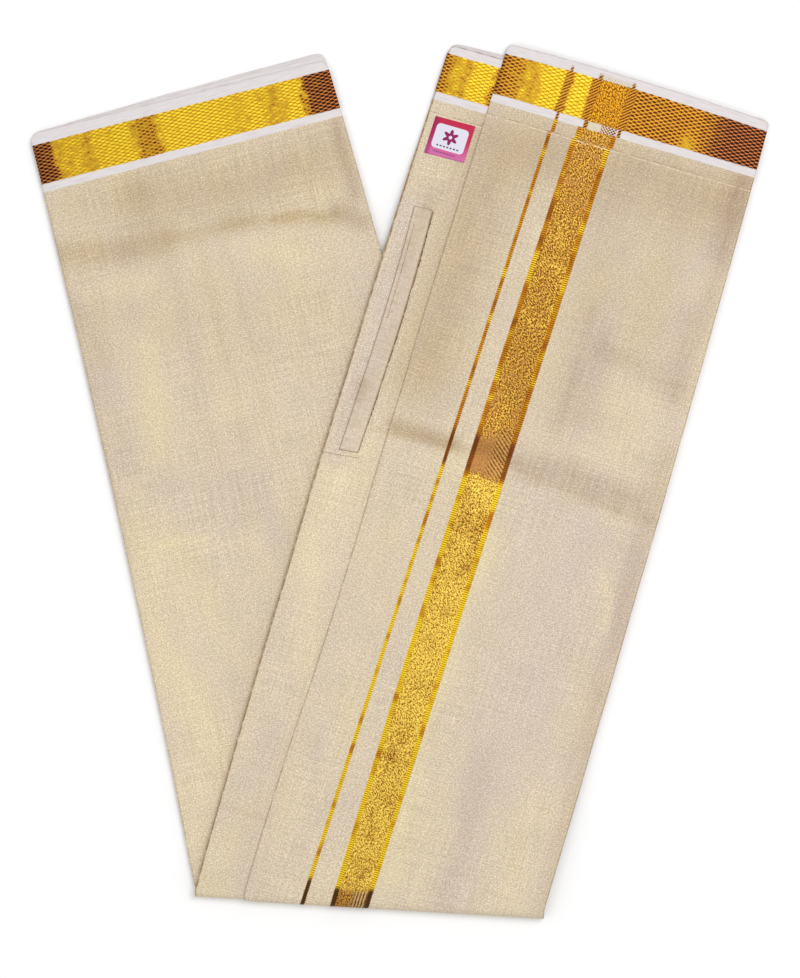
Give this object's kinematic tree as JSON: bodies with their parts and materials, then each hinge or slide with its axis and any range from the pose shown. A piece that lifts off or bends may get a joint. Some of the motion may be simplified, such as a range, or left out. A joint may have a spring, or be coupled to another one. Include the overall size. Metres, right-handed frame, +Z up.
{
  "type": "folded dhoti cloth",
  "caption": "Folded tissue dhoti lying flat in a V, with a woven gold border, a wide gold cross band, a pocket welt and a small sewn label.",
  "frame": {"origin": "on the floor, under the middle of the folded cloth's bounding box", "axes": "+Z up out of the top layer, +Y from the fold towards the two selvedge ends, +X to the right as the picture shows it"},
  "size_m": [0.551, 0.6556, 0.0118],
  "materials": {
    "tissue_cloth": "soft tissue weave with a gold zari border and band",
    "lining_cloth": "matt cotton",
    "label_satin": "satin"
  },
  "bodies": {
    "root": {"hidden_layers": "tissue_cloth", "left_panel": "tissue_cloth", "waist_panel": "tissue_cloth", "front_panel": "tissue_cloth", "pocket_welt": "lining_cloth", "sewn_label": "label_satin"}
  },
  "joints": []
}
